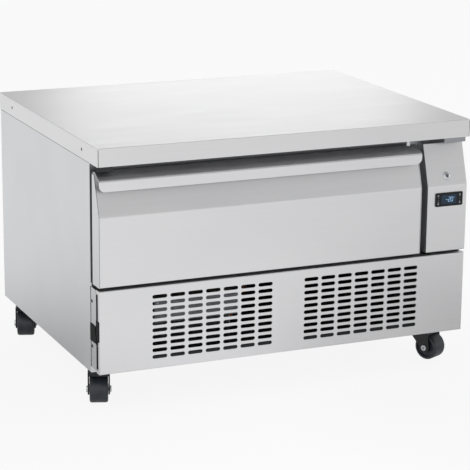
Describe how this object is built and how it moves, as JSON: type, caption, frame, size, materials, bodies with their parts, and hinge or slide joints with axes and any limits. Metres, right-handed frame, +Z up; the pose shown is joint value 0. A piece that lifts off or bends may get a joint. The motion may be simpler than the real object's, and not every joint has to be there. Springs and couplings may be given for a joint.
{
  "type": "refrigerated chef base",
  "caption": "Low refrigerated base on swivel casters, with a wide insulated drawer, a control column and a hinged slotted panel over its refrigeration machine.",
  "frame": {"origin": "on the floor, below the middle of the worktop", "axes": "+X to the right as the user faces the front, +Y towards the back, +Z up; the drawer faces -Y"},
  "size_m": [0.9, 0.7, 0.595],
  "materials": {
    "stainless": "satin brushed",
    "cabinet_steel": "satin",
    "galvanised": "galvanised, dull",
    "foam": "cut foam",
    "foam_core": "foam behind a steel sheet",
    "gasket_rubber": "matt",
    "black_plastic": "moulded",
    "display_blue": "gloss",
    "button_grey": "moulded",
    "chrome": "polished",
    "aluminium": "mill",
    "black_paint": "satin paint",
    "copper": "drawn copper tube",
    "wheel_plastic": "moulded nylon",
    "zinc": "bright zinc plate"
  },
  "bodies": {
    "cabinet": {"worktop": "stainless", "side_panel_left": "stainless", "side_panel_right": "stainless", "back_panel": "cabinet_steel", "insulation_foam": "foam", "inner_liner": "cabinet_steel", "front_frame": "stainless", "control_fascia": "stainless", "controller_housing": "black_plastic", "display_lens": "display_blue", "lock_body": "chrome", "corner_post_left": "stainless", "corner_post_right": "stainless", "hinge_fixed_leaf": "black_plastic", "cabinet_rail_left": "zinc", "cabinet_rail_right": "zinc", "evaporator_coil": "aluminium", "evaporator_cover": "cabinet_steel", "base_tray": "galvanised", "compressor": "black_paint", "condenser_coil": "aluminium", "condenser_shroud": "galvanised", "condenser_fan_motor": "black_paint", "refrigerant_pipe": "copper", "electrical_box": "galvanised", "drip_tray": "black_plastic", "mains_inlet": "black_plastic", "caster_plate_front_left": "black_paint", "caster_plate_front_right": "black_paint", "caster_plate_back_left": "black_paint", "caster_plate_back_right": "black_paint"},
    "drawer": {"drawer_front": "stainless", "drawer_core": "foam_core", "drawer_gasket": "gasket_rubber", "drawer_box": "cabinet_steel", "drawer_rail_left": "zinc", "drawer_rail_right": "zinc"},
    "slide_middle_left": {"middle_rail_left": "zinc"},
    "slide_middle_right": {"middle_rail_right": "zinc"},
    "lock_cylinder": {"lock_plug": "chrome"},
    "lower_panel": {"grille_panel": "stainless", "hinge_moving_leaf": "black_plastic"},
    "condenser_rotor": {"condenser_fan": "aluminium"},
    "evaporator_rotor": {"evaporator_fan": "black_plastic"},
    "button_upper_left": {"controller_button_upper_left": "button_grey"},
    "button_lower_left": {"controller_button_lower_left": "button_grey"},
    "button_upper_right": {"controller_button_upper_right": "button_grey"},
    "button_lower_right": {"controller_button_lower_right": "button_grey"},
    "swivel_front_left": {"caster_fork_front_left": "black_paint", "caster_axle_front_left": "zinc"},
    "wheel_front_left": {"caster_wheel_front_left": "wheel_plastic"},
    "swivel_front_right": {"caster_fork_front_right": "black_paint", "caster_axle_front_right": "zinc"},
    "wheel_front_right": {"caster_wheel_front_right": "wheel_plastic"},
    "swivel_back_left": {"caster_fork_back_left": "black_paint", "caster_axle_back_left": "zinc"},
    "wheel_back_left": {"caster_wheel_back_left": "wheel_plastic"},
    "swivel_back_right": {"caster_fork_back_right": "black_paint", "caster_axle_back_right": "zinc"},
    "wheel_back_right": {"caster_wheel_back_right": "wheel_plastic"}
  },
  "joints": [
    {"name": "drawer_slide", "type": "slide", "parent": "cabinet", "child": "drawer", "axis": [0, -1, 0], "range_m": [0, 0.46]},
    {"name": "slide_middle_left_slide", "type": "slide", "parent": "cabinet", "child": "slide_middle_left", "axis": [0, -1, 0], "range_m": [0, 0.23]},
    {"name": "slide_middle_right_slide", "type": "slide", "parent": "cabinet", "child": "slide_middle_right", "axis": [0, -1, 0], "range_m": [0, 0.23]},
    {"name": "lock_turn", "type": "hinge", "parent": "cabinet", "child": "lock_cylinder", "pos_m": [0.3985, -0.34089, 0.466], "axis": [0, -0.9554, 0.2955], "range_deg": [0, 90]},
    {"name": "lower_panel_swing", "type": "hinge", "parent": "cabinet", "child": "lower_panel", "pos_m": [-0.4453, -0.331, 0.19], "axis": [0, 0, -1], "range_deg": [0, 90]},
    {"name": "condenser_fan_spin", "type": "hinge", "parent": "cabinet", "child": "condenser_rotor", "pos_m": [-0.21, -0.1458, 0.1643], "axis": [0, 1, 0], "continuous": true},
    {"name": "evaporator_fan_spin", "type": "hinge", "parent": "cabinet", "child": "evaporator_rotor", "pos_m": [-0.04, 0.2137, 0.419], "axis": [0, 1, 0], "continuous": true},
    {"name": "button_upper_left_press", "type": "slide", "parent": "cabinet", "child": "button_upper_left", "axis": [0, 1, 0], "range_m": [0, 0.0008], "stiffness_N_per_m": 400},
    {"name": "button_lower_left_press", "type": "slide", "parent": "cabinet", "child": "button_lower_left", "axis": [0, 1, 0], "range_m": [0, 0.0008], "stiffness_N_per_m": 400},
    {"name": "button_upper_right_press", "type": "slide", "parent": "cabinet", "child": "button_upper_right", "axis": [0, 1, 0], "range_m": [0, 0.0008], "stiffness_N_per_m": 400},
    {"name": "button_lower_right_press", "type": "slide", "parent": "cabinet", "child": "button_lower_right", "axis": [0, 1, 0], "range_m": [0, 0.0008], "stiffness_N_per_m": 400},
    {"name": "caster_front_left_swivel", "type": "hinge", "parent": "cabinet", "child": "swivel_front_left", "pos_m": [-0.409, -0.232, 0.07], "axis": [0, 0, 1], "continuous": true},
    {"name": "wheel_front_left_spin", "type": "hinge", "parent": "swivel_front_left", "child": "wheel_front_left", "pos_m": [-0.41755, -0.25549, 0.03], "axis": [0.9397, -0.342, 0], "continuous": true},
    {"name": "caster_front_right_swivel", "type": "hinge", "parent": "cabinet", "child": "swivel_front_right", "pos_m": [0.409, -0.232, 0.07], "axis": [0, 0, 1], "continuous": true},
    {"name": "wheel_front_right_spin", "type": "hinge", "parent": "swivel_front_right", "child": "wheel_front_right", "pos_m": [0.41996, -0.25447, 0.03], "axis": [0.8988, 0.4384, 0], "continuous": true},
    {"name": "caster_back_left_swivel", "type": "hinge", "parent": "cabinet", "child": "swivel_back_left", "pos_m": [-0.409, 0.3, 0.07], "axis": [0, 0, 1], "continuous": true},
    {"name": "wheel_back_left_spin", "type": "hinge", "parent": "swivel_back_left", "child": "wheel_back_left", "pos_m": [-0.41755, 0.27651, 0.03], "axis": [0.9397, -0.342, 0], "continuous": true},
    {"name": "caster_back_right_swivel", "type": "hinge", "parent": "cabinet", "child": "swivel_back_right", "pos_m": [0.409, 0.3, 0.07], "axis": [0, 0, 1], "continuous": true},
    {"name": "wheel_back_right_spin", "type": "hinge", "parent": "swivel_back_right", "child": "wheel_back_right", "pos_m": [0.41996, 0.27753, 0.03], "axis": [0.8988, 0.4384, 0], "continuous": true}
  ],
  "couplings": [
    {"joint": "slide_middle_left_slide", "follows": "drawer_slide", "ratio": 0.5},
    {"joint": "slide_middle_right_slide", "follows": "drawer_slide", "ratio": 0.5}
  ]
}
